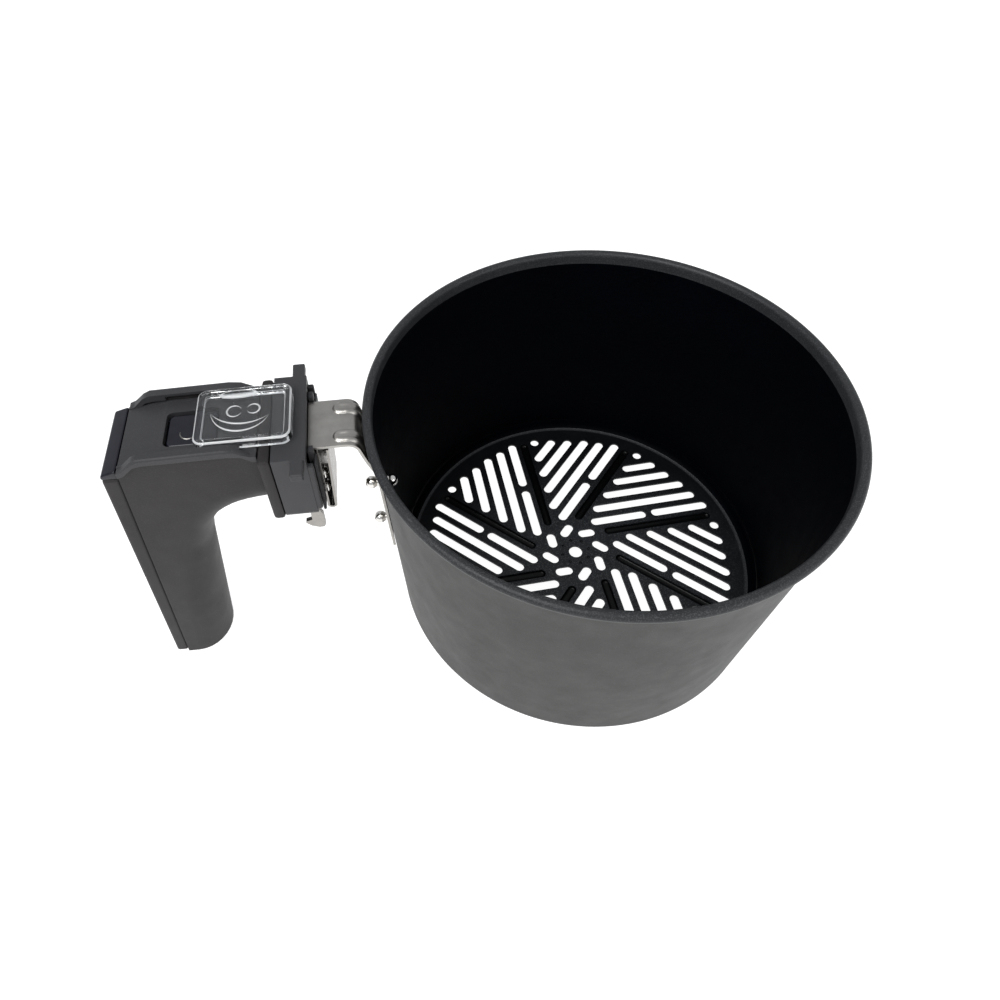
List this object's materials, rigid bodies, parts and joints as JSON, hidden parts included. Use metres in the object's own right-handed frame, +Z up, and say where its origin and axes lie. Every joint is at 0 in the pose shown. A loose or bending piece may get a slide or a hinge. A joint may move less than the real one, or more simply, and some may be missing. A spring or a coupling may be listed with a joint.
{
  "type": "air fryer basket",
  "caption": "Round tapered air fryer basket with a swirl-slotted floor, riveted steel bracket and a pistol-grip handle with a clear sliding guard over its release button.",
  "frame": {"origin": "centre of the bounding box's base, level with the underside of the grip; the basket's axis is 58.65 mm towards +X and its foot ring 22.6 mm up", "axes": "+Z up along the basket's axis, +X from the handle to the basket, +Y to the left of someone who looks along +X"},
  "size_m": [0.3221, 0.205, 0.1634],
  "materials": {
    "shell_coating": "matte non-stick coating, fine grain",
    "floor_coating": "dark speckled non-stick coating",
    "body_plastic": "fine matte moulded plastic",
    "cover_plastic": "satin moulded plastic",
    "gloss_plastic": "high gloss",
    "satin_steel": "satin pressed steel",
    "polished_steel": "polished",
    "clear_plastic": "clear moulded plastic"
  },
  "bodies": {
    "basket": {"basket_shell": "shell_coating", "basket_floor": "floor_coating", "handle_bracket": "satin_steel", "rivet_upper": "polished_steel", "rivet_lower": "polished_steel", "handle_shell": "body_plastic", "handle_fascia": "body_plastic", "end_trim": "gloss_plastic", "top_cover": "cover_plastic", "collar_block": "cover_plastic", "latch_housing": "cover_plastic", "latch_channel": "satin_steel", "channel_screw_1_near": "polished_steel", "channel_screw_1_far": "polished_steel", "channel_screw_2_near": "polished_steel", "channel_screw_2_far": "polished_steel", "bracket_screw_near": "polished_steel", "bracket_screw_far": "polished_steel", "button_spring": "satin_steel", "pivot_pin": "polished_steel"},
    "button": {"release_button": "gloss_plastic"},
    "latch": {"latch_lever": "satin_steel"},
    "guard": {"button_guard": "clear_plastic"}
  },
  "joints": [
    {"name": "guard_slide", "type": "slide", "parent": "basket", "child": "guard", "axis": [1, 0, 0], "range_m": [-0.012, 0.012]},
    {"name": "button_press", "type": "slide", "parent": "basket", "child": "button", "axis": [0, 0, -1], "range_m": [0, 0.003], "stiffness_N_per_m": 300, "springref_m": -0.003, "deforming": ["button_spring"]},
    {"name": "latch_swing", "type": "hinge", "parent": "basket", "child": "latch", "pos_m": [-0.06855, 0, 0.1381], "axis": [0, -1, 0], "range_deg": [0, 4]}
  ],
  "couplings": [
    {"joint": "latch_swing", "follows": "button_press", "rad_per_m": 23.095}
  ]
}
